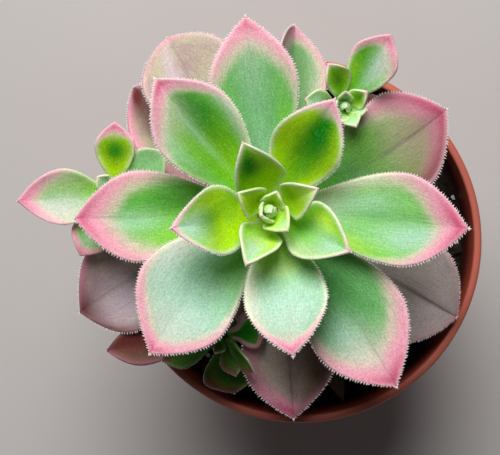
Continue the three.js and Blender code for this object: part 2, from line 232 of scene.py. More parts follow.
MAIN_LEAVES = {
    "leaf_04": Leaf(25, 13.5, 11.4, 123.4, (15, 120, 24), 46, middle=0.5, look=Look(
        0.12, left=0.8, right=0.8, start=0.8, tip=1.4, rose=0.5, edge=1, spots=[
            ("deep_and_shade", 0.5, 0.3, 0.14, 0.4, 0.3), ("bloom_and_sheen", 0.85, -0.3, 0.12, 0.5, 0.4)])),
    "leaf_05": Leaf(246, 15.2, 12.8, 122.3, (15, 115, 22), 44, middle=0.5, bow=0.4, look=Look(
        0.3, left=0.8, right=0.8, start=0.8, tip=1.2, rose=0.4, edge=1, spots=[
            ("bloom_and_sheen", 0.82, -0.1, 0.2, 0.7, 0.8), ("gold", 0.5, 0.5, 0.25, 0.4, 0.6),
            ("cream_and_painted_light", 0.6, 0, 0.25, 0.5, 0.35)])),
    "leaf_06": Leaf(112, 18.8, 15, 121.1, (15, 105, 20), 42, middle=0.52, bow=-0.8, look=Look(
        0.32, left=0.8, right=0.8, start=0.85, tip=1.2, rose=0.5, edge=1, spots=[
            ("deep_and_shade", 0.74, 0.25, 0.22, 0.5, 1), ("gold", 0.5, -0.7, 0.3, 0.5, 1),
            ("gold", 0.3, 0, 0.25, 1, 1)])),
    "leaf_07": Leaf(333, 22.9, 16.6, 119.9, (16, 90, 18), 38, middle=0.56, bow=0.4, look=Look(
        0.48, left=1.2, right=1, start=0.8, tip=2.4, rose=0.6, edge=1, spots=[
            ("deep_and_shade", 0.4, 0.35, 0.12, 0.35, 0.4), ("bloom_and_sheen", 0.84, -0.3, 0.16, 0.5, 0.8),
            ("bloom_and_sheen", 0.6, 0, 0.2, 0.6, 0.25),
            ("gold", 0.6, 0.5, 0.3, 0.4, 0.8), ("cream_and_painted_light", 0.6, -0.75, 0.3, 0.3, 0.5)])),
    "leaf_08": Leaf(190, 25.6, 19.4, 118.7, (18, 84, 16), 36, middle=0.58, look=Look(
        0.3, left=1.4, right=1.6, start=0.7, tip=3, rose=0.75, edge=1, spots=[
            ("deep_and_shade", 0.66, 0, 0.2, 0.6, 0.6), ("bloom_and_sheen", 0.86, 0.15, 0.15, 0.7, 1),
            ("gold", 0.5, 0.4, 0.25, 0.7, 0.8), ("gold", 0.62, -0.7, 0.25, 0.4, 0.7)])),
    "leaf_09": Leaf(60, 32.8, 19.6, 117.4, (20, 64, 16), 30, middle=0.62, look=Look(
        0.3, left=1.8, right=2.2, start=0.75, tip=7, rose=1, edge=1, spots=[
            ("deep_and_shade", 0.7, -0.12, 0.32, 0.55, 1), ("gold", 0.6, 0.8, 0.4, 0.4, 1),
            ("gold", 0.5, -0.8, 0.3, 0.3, 0.8),
            ("deep_and_shade", 0.88, -0.25, 0.12, 0.6, 0.2)])),
    "leaf_10": Leaf(279, 37.6, 22.4, 116, (22, 48, 12), 26, middle=0.64, bow=0.7, look=Look(
        0.8, left=3, right=3, start=0.7, tip=8, rose=0.95, edge=1, spots=[
            ("bloom_and_sheen", 0.7, 0, 0.36, 1.8, 1), ("gold", 0.3, 0.6, 0.2, 0.6, 1),
            ("gold", 0.3, -0.6, 0.2, 0.6, 1), ("gold", 0.3, 0, 0.16, 0.6, 1),
            ("deep_and_shade", 0.4, 0.65, 0.08, 0.3, 0.2), ("cream_and_painted_light", 0.85, 0, 0.2, 0.8, 0.3),
            ("cream_and_painted_light", 0.6, -0.9, 0.3, 0.25, 0.9)])),
    "leaf_11": Leaf(131, 45.2, 23.4, 114.7, (22, 32, 10), 24, look=Look(
        0.72, left=7.5, right=4.6, start=0.6, tip=6, rose=0.85, edge=1, spots=[
            ("deep_and_shade", 0.72, -0.25, 0.28, 0.5, 0.95), ("gold", 0.5, -0.2, 0.3, 0.8, 0.7),
            ("bloom_and_sheen", 0.55, -1, 0.4, 0.25, 0.8), ("cream_and_painted_light", 0.88, 0.5, 0.2, 0.6, 0.8),
            ("cream_and_painted_light", 0.45, -1, 0.35, 0.2, 0.9),
            ("bloom_and_sheen", 0.62, 0.1, 0.25, 0.1, 0.4), ("bloom_and_sheen", 0.7, 0.75, 0.25, 0.2, 0.5)])),
    "leaf_12": Leaf(355, 52, 25, 113.5, (22, 18, 8), 22, bow=1, look=Look(
        0.64, left=10, right=5.5, start=0.55, tip=14, rose=0.8, spots=[
            ("bloom_and_sheen", 0.5, 0.35, 0.22, 0.3, 0.5), ("bloom_and_sheen", 0.76, -0.4, 0.26, 0.35, 0.9),
            ("bloom_and_sheen", 0.26, 0.1, 0.16, 1, 0.45), ("cream_and_painted_light", 0.5, 0.95, 0.35, 0.25, 0.9),
            ("deep_and_shade", 0.58, 0.02, 0.24, 0.16, 0.4), ("gold", 0.4, -0.8, 0.25, 0.4, 0.7),
            ("dark_red_and_shade", 0.9, 0.4, 0.14, 0.5, 0.16), ("cream_and_painted_light", 0.22, 0.4, 0.14, 0.7, 0.6)])),
    "leaf_13": Leaf(230, 48.6, 28.4, 112.1, (24, 18, 6), 22, bow=-2.9, look=Look(
        0.95, left=4.5, right=4.5, start=0.5, tip=7, rose=0.8, spots=[
            ("deep_and_shade", 0.44, -0.05, 0.16, 0.35, 0.5), ("bloom_and_sheen", 0.76, 0.2, 0.3, 1.3, 1),
            ("bloom_and_sheen", 0.35, -0.8, 0.3, 0.4, 1), ("cream_and_painted_light", 0.35, -0.95, 0.3, 0.45, 1),
            ("bloom_and_sheen", 0.2, -0.5, 0.2, 0.8, 1), ("gold", 0.36, 0.2, 0.15, 0.7, 0.5),
            ("cream_and_painted_light", 0.88, 0, 0.16, 1.2, 0.6)])),
    "leaf_14": Leaf(97, 51.7, 24, 111, (20, 16, 6), 22, look=Look(
        1, left=8.5, right=8.5, start=0.55, tip=8, rose=0.66, spots=[
            ("bloom_and_sheen", 0.6, 0.02, 0.3, 0.3, 0.25), ("cream_and_painted_light", 0.96, 0, 0.07, 0.6, 0.6),
            ("bloom_and_sheen", 0.25, 0, 0.15, 1, 0.4), ("gold", 0.45, 0.7, 0.3, 0.3, 0.35),
            ("gold", 0.45, -0.7, 0.3, 0.3, 0.35), ("cream_and_painted_light", 0.86, 0, 0.14, 0.5, 0.35)])),
    "leaf_15": Leaf(306, 57.4, 28, 109.7, (18, 11, 2), 20, bow=2, look=Look(
        1, left=10, right=7, start=0.5, tip=13, rose=0.75, rib=0.25, spots=[
            ("deep_and_shade", 0.52, 0, 0.24, 0.5, 0.4), ("bloom_and_sheen", 0.68, -0.4, 0.12, 0.4, 0.7),
            ("cream_and_painted_light", 0.84, -0.3, 0.12, 0.8, 1), ("dark_red_and_shade", 1, 0, 0.08, 1, 0.35)])),
    "leaf_16": Leaf(182, 52.1, 25, 108.3, (16, 10, 2), 20, look=Look(
        0.75, left=9, right=9, start=0.45, tip=16, rose=0.7, rib=0.3, spots=[
            ("bloom_and_sheen", 0.72, 0.12, 0.2, 0.25, 0.6), ("gold", 0.45, 0.5, 0.2, 0.6, 0.6),
            ("deep_and_shade", 0.55, -0.35, 0.22, 0.25, 0.5), ("cream_and_painted_light", 0.78, 0.7, 0.2, 0.3, 0.4)])),
    "leaf_17": Leaf(30, 55.8, 28.6, 107.2, (8, 8, -8), 22, bow=-2.2, middle=0.72, look=Look(
        0.6, mauve=0.12, left=8, right=6, start=0.45, tip=24, rose=0.78, rib=0.6, spots=[
            ("deep_and_shade", 0.42, 0, 0.3, 0.9, 0.95), ("dark_red_and_shade", 0.86, -0.2, 0.3, 1, 0.6),
            ("dark_red_and_shade", 0.6, -1, 0.4, 0.35, 0.7), ("cream_and_painted_light", 0.76, 0, 0.14, 0.7, 0.35)])),
    "leaf_18": Leaf(277, 58, 26.4, 105.8, (-12, -6, -6), 20, bow=0.9, middle=0.7, look=Look(
        0.7, mauve=0.9, left=2.5, right=9, start=0.3, tip=9, rose=0.8, rib=0.5, edge=0.4, spots=[
            ("dark_red_and_shade", 0.7, 0.7, 0.4, 0.5, 0.78), ("dark_red_and_shade", 0.75, 0, 0.4, 0.25, 0.25),
            ("cream_and_painted_light", 0.6, -0.4, 0.3, 0.3, 0.3),
            ("deep_and_shade", 0.5, 0.5, 0.3, 0.4, 0.4)])),
    "leaf_19": Leaf(120, 57, 27.6, 104.9, (2, 12, -48), 18, middle=0.72, look=Look(
        0.5, mauve=0.86, left=6, right=4, start=0.3, tip=8, rose=0.42, rib=0.2, edge=0.4, spots=[
            ("bloom_and_sheen", 0.75, 0.3, 0.3, 0.16, 0.7), ("dark_red_and_shade", 0.7, 0.6, 0.5, 0.8, 0.13),
            ("dark_red_and_shade", 0.7, -0.4, 0.3, 0.5, 0.12), ("deep_and_shade", 0.6, -0.3, 0.3, 0.4, 0.4)])),
    "leaf_20": Leaf(331, 61, 29, 102.9, (-2, 10, -42), 20, bow=0.4, middle=0.73, look=Look(
        0.6, mauve=0.95, left=2.5, right=3.5, start=0.4, tip=5, rose=0.5, rib=0.9, edge=0.35, spots=[
            ("bloom_and_sheen", 0.75, -0.3, 0.3, 0.8, 0.8), ("cream_and_painted_light", 0.62, 0.4, 0.3, 0.6, 1),
            ("deep_and_shade", 0.24, 0, 0.2, 1, 0.6), ("dark_red_and_shade", 0.92, 0.05, 0.1, 0.08, 0.3),
            ("bloom_and_sheen", 0.55, 0.4, 0.3, 0.5, 1), ("cream_and_painted_light", 0.7, 0, 0.25, 0.6, 0.8)])),
    "leaf_21": Leaf(208, 60.2, 27.8, 101.95, (-2, 2, -26), 18, bow=-2.2, middle=0.74, look=Look(
        0.6, mauve=1, left=2, right=4.5, start=0.3, tip=5, rose=0.75, rib=0.3, edge=0.35, spots=[
            ("bloom_and_sheen", 0.76, 0.3, 0.25, 0.6, 1), ("dark_red_and_shade", 1, 0, 0.13, 2, 1),
            ("dark_red_and_shade", 0.85, 1, 0.25, 0.16, 0.9), ("deep_and_shade", 0.35, -0.4, 0.2, 0.5, 0.5),
            ("cream_and_painted_light", 0.6, -0.5, 0.2, 0.4, 0.35)])),
    "leaf_22": Leaf(82, 53, 26, 99.9, (6, 6, -24), 60, roll=48, middle=0.74, look=Look(
        0.9, mauve=0.1, left=9, right=4, start=0.15, tip=7, rose=0.6, rib=0.1, spots=[
            ("cream_and_painted_light", 0.6, 0.8, 0.6, 0.5, 1), ("cream_and_painted_light", 0.7, -0.85, 0.4, 0.3, 0.6),
            ("bloom_and_sheen", 0.6, 0.5, 0.5, 0.3, 1), ("deep_and_shade", 0.6, 0.1, 0.3, 0.12, 0.6)])),
    "leaf_24": Leaf(137, 52.2, 23, 98, (4, 10, -44), 24, bow=1.4, look=Look(
        0.6, mauve=0.8, left=5, right=1.5, start=0, tip=3, rose=0.75, rib=0.4, edge=0.3, spots=[
            ("dark_red_and_shade", 0.75, 0.3, 0.5, 0.5, 0.6), ("deep_and_shade", 0.6, 0, 0.8, 0.7, 0.7),
            ("dark_red_and_shade", 1, 0, 0.15, 1, 0.8)])),
}

WITHERED_LEAF = Leaf(292, 58, 9, 96, (4, -8, -24), 50, look=Look(0.5, mauve=1, rose=0.2, edge=0))

BUD_LOOK = Look(
    0.2, left=0.3, right=0.3, start=1, tip=0.3, rose=0.2, spots=[("bloom_and_sheen", 0.9, 0, 0.5, 2, 0.7)])
YOUNG_LOOK = Look(
    0.12, left=0.6, right=0.6, start=0.9, tip=0.8, rose=0.35, spots=[("gold", 0.6, 0.5, 0.3, 0.4, 0.4)])
PALE_LOOK = Look(
    0.15, left=0.6, right=0.6, start=0.9, tip=0.8, rose=0.35, spots=[("bloom_and_sheen", 0.8, 0.1, 0.25, 0.6, 0.7)])

# The bud and the youngest leaves, from the inside out.
YOUNG_LEAVES = [
    Leaf(124, -0.7, 3.4, 129.7, (80, 100, 150), 75, middle=0.45, look=BUD_LOOK),
    Leaf(318, -0.1, 4.2, 129.4, (80, 99, 138), 75, middle=0.45, look=BUD_LOOK),
    Leaf(209, 2.5, 7.6, 129.2, (44, 108, 84), 74, middle=0.45, look=PALE_LOOK),
    Leaf(70, 5.4, 7.8, 127.8, (24, 110, 36), 60, middle=0.42, look=YOUNG_LOOK),
    Leaf(312, 6.9, 10, 127.4, (22, 112, 30), 56, middle=0.42, look=PALE_LOOK),
    Leaf(151, 9.5, 10.4, 126.2, (18, 116, 28), 48, middle=0.47, look=YOUNG_LOOK),
]

FRESH = Look(
    0.25, left=0.8, right=0.8, start=0.8, tip=1.4, rose=0.5, spots=[("deep_and_shade", 0.6, 0, 0.3, 0.5, 0.7)])
TENDER = Look(
    0.3, left=0.5, right=0.5, start=0.8, tip=0.8, rose=0.4, spots=[("bloom_and_sheen", 0.8, 0, 0.5, 1, 0.8)])
FLUSHED = Look(0.5, left=4, right=4, start=0.3, tip=6, rose=0.8, spots=[("cream_and_painted_light", 0.7, 0, 0.3, 0.8, 0.6)])
# painted shade: the leaves of a head lying in deep shadow, darkened with deep green and dark red patches
SHADED = Look(0.7, left=0.6, right=0.6, rose=0.2, tip=1, edge=0.12, spots=[
    ("deep_and_shade", 0.5, 0, 1, 3, 1), ("dark_red_and_shade", 0.85, -1, 0.3, 0.5, 0.95), ("dark_red_and_shade", 1, 0, 0.14, 1, 0.9),
    ("dark_red_and_shade", 0.6, 0, 1, 3, 0.35)])
# a reddened leaf, darkened further with painted shade
REDDENED_AND_SHADED = Look(0.7, mauve=0.6, left=2.4, right=1, start=0.2, tip=3, rose=0.8, edge=0.1, spots=[
    ("dark_red_and_shade", 0.75, -0.5, 1, 3, 1), ("deep_and_shade", 0.3, 0, 0.5, 3, 0.8)])

# Each head's axis, the height of its neck, where its branch starts and bends, and its leaves.
SIDE_ROSETTES = {
    "side_rosette_a": ((11.2, 36.2), 109, (-2, 3, 82), (5, 24, 94), [
        Leaf(58, 22, 13.8, 111, (35, 30, 22), 30, look=Look(
            0.7, left=3, right=4, start=0.5, tip=5, rose=0.8, spots=[
                ("deep_and_shade", 0.7, 0.5, 0.2, 0.3, 0.4), ("bloom_and_sheen", 0.66, -0.3, 0.35, 0.4, 1),
                ("gold", 0.5, 0.6, 0.25, 0.4, 0.6), ("cream_and_painted_light", 0.76, -0.6, 0.25, 0.5, 1),
                ("cream_and_painted_light", 0.9, -0.1, 0.1, 0.6, 0.8)])),
        Leaf(358, 11, 8.5, 109.4, (5, 4, 0), 30, look=FLUSHED),
        Leaf(114, 12, 8.6, 112, (30, 70, 34), 46, roll=16, bow=-0.8, look=FRESH),
        Leaf(170, 11, 8, 110, (25, 45, 30), 40, look=TENDER),
        Leaf(33, 6.8, 6.6, 113.2, (20, 90, 40), 44, middle=0.5, look=FRESH),
        *[Leaf(*bend, middle=0.5, look=TENDER) for bend in [
            (296, 6.2, 6.4, 113.6, (20, 90, 40), 44),
            (242, 5, 6, 114, (20, 90, 40), 44),
            (350, 6, 6, 112.8, (20, 80, 34), 40),
            (92, 3.8, 5.4, 114.2, (30, 110, 60), 60),
            (190, 3.2, 5, 114.4, (34, 110, 66), 60),
            (10, -0.3, 3.6, 113, (80, 100, 140), 75),
            (150, -0.6, 3, 113.4, (80, 100, 150), 75)]],
    ]),
    "side_rosette_b": ((-51, 13.5), 101, (-3, 2, 82), (-34, 10, 90), [
        Leaf(185, 26.8, 17, 103, (20, 14, 4), 44, middle=0.52, look=Look(
            0.6, mauve=0.16, left=4, right=5, start=0.4, tip=10, rose=0.72, rib=0.2, spots=[
                ("bloom_and_sheen", 0.62, 0.4, 0.35, 0.5, 1), ("cream_and_painted_light", 0.6, 0.7, 0.35, 0.5, 0.8),
                ("cream_and_painted_light", 0.7, -0.7, 0.35, 0.4, 0.6)])),
        Leaf(90, 19, 11.6, 103.6, (30, 24, 16), 28, look=Look(
            0.1, left=2.4, right=2.4, start=0.6, tip=6, rose=0.9, spots=[
                ("deep_and_shade", 0.6, 0, 0.22, 0.7, 1)])),
        Leaf(240, 20, 12, 102.4, (14, 8, 4), 28, look=Look(
            0.5, left=2, right=2.6, start=0.5, tip=4, rose=0.85, spots=[
                ("bloom_and_sheen", 0.7, 0, 0.3, 0.6, 0.5), ("cream_and_painted_light", 0.7, 0.3, 0.3, 0.6, 0.3)])),
        Leaf(39, 17.5, 11, 104, (16, 18, 12), 34, look=Look(
            0.6, left=0.6, right=0.6, start=0.9, rose=0.4, spots=[("bloom_and_sheen", 0.7, 0, 0.6, 2, 0.45)])),
        Leaf(322, 14, 9, 103.2, (14, 14, 14), 34, look=FRESH),
        Leaf(140, 6.5, 5.4, 105, (25, 55, 35), 44, look=TENDER),
        Leaf(277, 6.5, 5.4, 105.4, (25, 60, 40), 46, look=TENDER),
        Leaf(55, 4, 4.2, 106, (30, 90, 60), 54, look=TENDER),
    ]),
    "side_rosette_c": ((-21.3, -26), 98, (-1, 0, 80), (-15, -18, 88), [
        Leaf(188, 33.6, 12.4, 98, (0, -3, -8), 30, bow=-0.6, look=REDDENED_AND_SHADED),
        Leaf(202, 18.8, 9.4, 99.6, (12, 8, 4), 34, look=SHADED),
        Leaf(279, 16.8, 14.4, 98.4, (0, -4, -12), 24, bow=-1, look=SHADED),
        Leaf(286, 11.2, 7.4, 101.4, (24, 30, 24), 44, look=SHADED),
        Leaf(312, 12.4, 7, 103.6, (34, 42, 38), 40, roll=56, look=SHADED),
        Leaf(14, 11.2, 11, 103, (20, 26, -16), 26, look=Look(
            0.5, left=2.4, right=1.2, start=0, tip=2.5, rose=1, edge=0.4, spots=[
                ("deep_and_shade", 0.5, -0.1, 0.8, 0.9, 1), ("dark_red_and_shade", 0.9, -0.8, 0.3, 0.4, 0.7)])),
        Leaf(130, 11, 8, 100.8, (20, 30, 24), 34, look=SHADED),
        Leaf(75, 7, 5.6, 102.2, (25, 60, 40), 46, look=SHADED),
        Leaf(240, 5, 4.6, 103, (30, 75, 50), 50, look=SHADED),
    ]),
}

# ---------- shape of a blade


def slope_at(slopes, s):
    root, pull, tip = slopes
    return math.radians((1 - s) ** 2 * root + 2 * s * (1 - s) * pull + s ** 2 * tip)


def midrib(slopes, s):
    """How far a midrib of unit length has come, outwards and upwards, at the share s."""
    angles = [slope_at(slopes, s * (i + 0.5) / MIDRIB_STEPS) for i in range(MIDRIB_STEPS)]
    out = sum(math.cos(angle) for angle in angles) * s / MIDRIB_STEPS
    up = sum(math.sin(angle) for angle in angles) * s / MIDRIB_STEPS
    return out, up


def width_share(leaf, s):
    if s < leaf.middle:
        return LEAF_WAIST + (1 - LEAF_WAIST) * math.sin(math.pi / 2 * s / leaf.middle) ** 2
    return 1 - ((s - leaf.middle) / (1 - leaf.middle)) ** TIP_ROUNDNESS


def plumpness(leaf, least, per_width, most):
    return min(most, least + per_width * leaf.width)


def thickness_at(leaf, s, t):
    root = plumpness(leaf, *ROOT_THICKNESS)
    middle = plumpness(leaf, *MIDDLE_THICKNESS)
    core = (root + (middle - root) * min(1, 2 * s)) * (1 - TIP_THINNING * s ** 4)
    end = math.sqrt(max(0, 1 - s ** TIP_BLUNTNESS))
    edge = LEAF_EDGE * math.sqrt(max(0, 1 - abs(t) ** MARGIN_BLUNTNESS)) * end
    return edge + max(0, core - LEAF_EDGE) * (1 - abs(t) ** CORE_ROUNDNESS) * end


class Bend:
    """A leaf's midrib at one share s of its length: where it is and how the blade sits there."""

    def __init__(self, leaf, axis, s):
        length = (leaf.reach - ROOT_DEPTH) / midrib(leaf.slope, 1)[0]
        out, up = midrib(leaf.slope, s)
        slope = slope_at(leaf.slope, s)
        heading = math.radians(leaf.turn)
        outward = Vector((math.cos(heading), math.sin(heading), 0))
        self.leaf = leaf
        self.s = s
        self.length = length
        self.leftward = Vector((-outward.y, outward.x, 0))
        self.forward = outward * math.cos(slope) + Vector((0, 0, math.sin(slope)))
        self.normal = outward * -math.sin(slope) + Vector((0, 0, math.cos(slope)))
        self.half = max(LEAF_TIP_WIDTH / 2, leaf.width / 2 * width_share(leaf, s))
        eased = math.radians(leaf.cup) * (ROOT_CUP - CUP_EASING * s)
        self.cup = min(eased, self.half / TIGHTEST_BEND)
        self.roll = math.radians(leaf.roll) * min(1, s / ROLL_LENGTH)
        self.centre = Vector((axis[0], axis[1], leaf.root + length * up))
        self.centre += outward * (ROOT_DEPTH + length * out)
        self.centre += self.leftward * leaf.bow * math.sin(math.pi * s)

    def point(self, t):
        """The middle of the blade at t, and the direction that its upper face looks in."""
        leaf = self.leaf
        height = MARGIN_WAVE * min(1, leaf.width / FULL_WIDTH)
        wave = height * math.sin(2 * math.pi * WAVE_COUNT * self.s + leaf.turn) * t * t
        side = self.half / self.cup * math.sin(self.cup * t)
        lift = self.half / self.cup * (1 - math.cos(self.cup * t)) + wave
        across = side * math.cos(self.roll) - lift * math.sin(self.roll)
        above = side * math.sin(self.roll) + lift * math.cos(self.roll)
        lean = self.cup * t + self.roll
        place = self.centre + self.leftward * across + self.normal * above
        facing = self.normal * math.cos(lean) - self.leftward * math.sin(lean)
        return place, facing


def smooth(value, low, high):
    """0 below low, 1 above high, and a soft rise between them."""
    share = min(1, max(0, (value - low) / (high - low)))
    return share * share * (3 - 2 * share)


def patch(spots, kind, s, t):
    """How strongly the soft patches of one kind cover the place s, t."""
    total = 0
    for name, spot_s, spot_t, length, breadth, amount in spots:
        if name == kind:
            total += amount * math.exp(-((s - spot_s) / length) ** 2 - ((t - spot_t) / breadth) ** 2)
    return min(1, total)


def flush_at(look, s, t, rim, from_tip):
    """How flushed the blade is: 0 inside, 1 the full rose of its margin."""
    side = look.right + (look.left - look.right) * smooth(t, -0.5, 0.5)
    ripe = smooth(s, look.start - 0.2, look.start + 0.35)
    band = max(0, 1 - rim / (FLUSH_START + side * ripe)) ** FLUSH_FADE
    top = max(0, 1 - from_tip / look.tip)
    return min(1, look.rose * (band * ripe + 0.5 * top))


ZONES = ("tint", "mauve", "flush", "edge", "deep_and_shade", "bloom_and_sheen", "cream_and_painted_light", "dark_red_and_shade", "rib")


def zones_at(look, s, t, rim, from_tip):
    """What the skin reads at one place of a blade, a share from 0 to 1 for each zone."""
    gold = patch(look.spots, "gold", s, t) + 0.5 * (1 - smooth(s, *GOLDEN_ROOT))
    return {
        "tint": min(1, max(0, look.tint * (1 - GOLD_LOSS * min(1, gold)))),
        "mauve": look.mauve * smooth(s, *AGED_FROM),
        "flush": flush_at(look, s, t, rim, from_tip),
        "edge": look.edge * math.exp(-(rim / EDGE_WIDTH) ** 2),
        "rib": look.rib * smooth(s, *RIB_FROM),
        **{kind: patch(look.spots, kind, s, t) for kind in ("deep_and_shade", "bloom_and_sheen", "cream_and_painted_light", "dark_red_and_shade")},
    }


def add_blade(mesh, leaf, axis, rows, columns):
    """Adds one closed leaf blade, with the attributes that its skin reads."""
    uv = mesh.loops.layers.uv.verify()
    layers = {name: mesh.verts.layers.float[name] for name in ZONES}
    grid = bmesh.ops.create_grid(mesh, x_segments=columns, y_segments=rows, size=1)["verts"]
    places = {}
    for vert in grid:
        u = vert.co.x
        t = (1 - COLUMN_CROWDING) * u + COLUMN_CROWDING * math.sin(math.pi / 2 * u)
        s = 1 - (1 - (vert.co.y + 1) / 2) ** ROW_CROWDING
        places[vert] = (s, t)
    bends = {}
    for s, _ in places.values():
        if s not in bends:
            bends[s] = Bend(leaf, axis, s)

    margin = [bends[s].point(side)[0] for s in bends for side in (-1, 1) if s > 0.08]
    nearest = kdtree.KDTree(len(margin))
    for i, place in enumerate(margin):
        nearest.insert(place, i)
    nearest.balance()
    tip = bends[max(bends)].point(0)[0]

    faces = list({face for vert in grid for face in vert.link_faces})
    for face in faces:
        face.smooth = True
        for loop in face.loops:
            s, t = places[loop.vert]
            loop[uv].uv = ((t + 1) / 2, s)
    for vert in grid:
        s, t = places[vert]
        place, _ = bends[s].point(t)
        rim = nearest.find(place)[2]
        for name, value in zones_at(leaf.look, s, t, rim, (place - tip).length).items():
            vert[layers[name]] = value

    edges = list({edge for face in faces for edge in face.edges})
    copied = bmesh.ops.duplicate(mesh, geom=grid + edges + faces)
    under = [copied["vert_map"][vert] for vert in grid]
    bmesh.ops.reverse_faces(mesh, faces=[f for f in copied["geom"] if isinstance(f, bmesh.types.BMFace)])
    for vert, lower in zip(grid, under):
        s, t = places[vert]
        place, facing = bends[s].point(t)
        half = thickness_at(leaf, s, t) / 2
        groove = GROOVE_DEPTH * math.exp(-(t / GROOVE_WIDTH) ** 2) * smooth(s, 0.2, 0.6)
        groove *= min(1, leaf.width / FULL_WIDTH)
        vert.co = (place + facing * (half - groove * min(1, half))) * MM
        lower.co = (place - facing * (half + groove * 0.6)) * MM
    bmesh.ops.remove_doubles(mesh, verts=grid + under, dist=MERGED * MM)


def add_teeth(mesh, leaf, axis, chance):
    """Adds the row of small white teeth along both margins, leaning towards the tip."""
    spacing = TOOTH_SPACING * (0.7 + 0.3 * min(1, leaf.width / FULL_WIDTH))
    size = 0.35 + 0.65 * smooth(leaf.width, *TOOTH_GROWTH)
    count = int(Bend(leaf, axis, 0).length * (1 - TEETH_START) / (0.25 * spacing))
    for side in (-1, 1):
        walked = 0
        last = None
        for i in range(count + 1):
            s = TEETH_START + (1 - TEETH_START) * i / count
            bend = Bend(leaf, axis, s)
            root, facing = bend.point(side)
            if last is not None:
                walked += (root - last).length
            last = root
            if walked < spacing:
                continue
            walked -= spacing * chance.uniform(0.85, 1.15)
            inner, _ = bend.point(side * 0.9)
            outward = (root - inner).normalized()
            direction = outward + bend.forward * chance.uniform(0.25, 0.6)
            direction += facing * chance.uniform(-0.2, 0.2)
            length = TOOTH_LENGTH * size * chance.uniform(0.7, 1.2)
            base = root - outward * TOOTH_ROOT
            add_tooth(mesh, base, direction.normalized(), length, TOOTH_RADIUS * size)
    end = Bend(leaf, axis, 1)
    add_tooth(mesh, end.centre, end.forward, TOOTH_LENGTH * size * 1.3, TOOTH_RADIUS * size * 1.6)


def add_tooth(mesh, root, direction, length, radius):
    aim = direction.to_track_quat("Z", "Y").to_matrix().to_4x4()
    place = Matrix.Translation((root + direction * length / 2) * MM) @ aim
    bmesh.ops.create_cone(
        mesh, cap_ends=True, cap_tris=True, segments=3, radius1=radius * MM, radius2=0,
        depth=length * MM, matrix=place)


# ---------- making pieces


def new_object(name, data):
    made = bpy.data.objects.new(name, data)
    bpy.context.scene.collection.objects.link(made)
    return made


def mesh_object(name, mesh):
    data = bpy.data.meshes.new(name)
    mesh.to_mesh(data)
    mesh.free()
    return new_object(name, data)


def evaluated_mesh(source):
    """The mesh that an object comes to with its modifiers or its curve worked out."""
    shown = source.evaluated_get(bpy.context.evaluated_depsgraph_get())
    return bpy.data.meshes.new_from_object(shown)


def shade_smooth(piece):
    for face in piece.data.polygons:
        face.use_smooth = True


def new_piece(name, mesh, nodes, materials):
    piece = mesh_object(name, mesh)
    for material in materials:
        piece.data.materials.append(material)
    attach(piece, "root")
    if nodes:
        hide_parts(*nodes)
    return piece


def blade_mesh():
    mesh = bmesh.new()
    for name in ZONES:
        mesh.verts.layers.float.new(name)
    return mesh


def leafy_piece(name, leaves, axis, node, grid, seed):
    """The blades of one leaf or one head, with their teeth in a second material."""
    mesh = blade_mesh()
    for leaf in leaves:
        add_blade(mesh, leaf, axis, *grid)
    bmesh.ops.recalc_face_normals(mesh, faces=mesh.faces)
    skin_faces = len(mesh.faces)
    chance = random.Random(seed)
    for leaf in leaves:
        if leaf.width > SMALLEST_TOOTHED_LEAF:
            add_teeth(mesh, leaf, axis, chance)
    mesh.faces.ensure_lookup_table()
    for face in mesh.faces[skin_faces:]:
        face.material_index = 1
    return new_piece(name, mesh, [node], [LEAF_SKIN, GLOWING_TOOTH_WHITE])


def make_leaves():
    for i, (node, leaf) in enumerate(MAIN_LEAVES.items()):
        number = int(node[-2:])
        leafy_piece(f"blade_{number:02d}", [leaf], CROWN, node, BLADE_GRID, i)
    leafy_piece("young_blades", YOUNG_LEAVES, CROWN, "heart", YOUNG_GRID, YOUNG_SEED)
    for i, (node, (axis, _, _, _, leaves)) in enumerate(SIDE_ROSETTES.items()):
        leafy_piece(f"side_blades_{node[-1]}", leaves, axis, node, SIDE_GRID, SIDE_SEED + i)


def make_withered_leaf():
    mesh = blade_mesh()
    add_blade(mesh, WITHERED_LEAF, CROWN, *WITHERED_GRID)
    for vert in mesh.verts:
        crumple = noise.noise(vert.co / (COARSE_CRUMPLE * MM))
        crumple += 0.5 * noise.noise(vert.co / (FINE_CRUMPLE * MM))
        vert.co.z += crumple * CRUMPLE_HEIGHT * MM
    bmesh.ops.recalc_face_normals(mesh, faces=mesh.faces)
    new_piece("withered_blade", mesh, ["withered_leaf"], [WITHERED_SKIN])


# ---------- pot, soil and stem


def spun(outline, steps):
    """A closed turned shape from an outline of (radius, height) pairs that ends on the axis."""
    mesh = bmesh.new()
    corners = [mesh.verts.new((radius * MM, 0, height * MM)) for radius, height in outline]
    sides = [mesh.edges.new(pair) for pair in zip(corners, corners[1:])]
    bmesh.ops.spin(
        mesh, geom=corners + sides, cent=(0, 0, 0), axis=(0, 0, 1), angle=2 * math.pi,
        steps=steps, use_merge=True)
    bmesh.ops.remove_doubles(mesh, verts=mesh.verts, dist=MERGED * MM)
    bmesh.ops.recalc_face_normals(mesh, faces=mesh.faces)
    return mesh


def arc(centre, radius, start, end):
    """Points of a rounded corner of the outline, angles in degrees."""
    angles = [math.radians(start + (end - start) * i / CORNER_STEPS) for i in range(CORNER_STEPS + 1)]
    return [(centre[0] + radius * math.cos(a), centre[1] + radius * math.sin(a)) for a in angles]


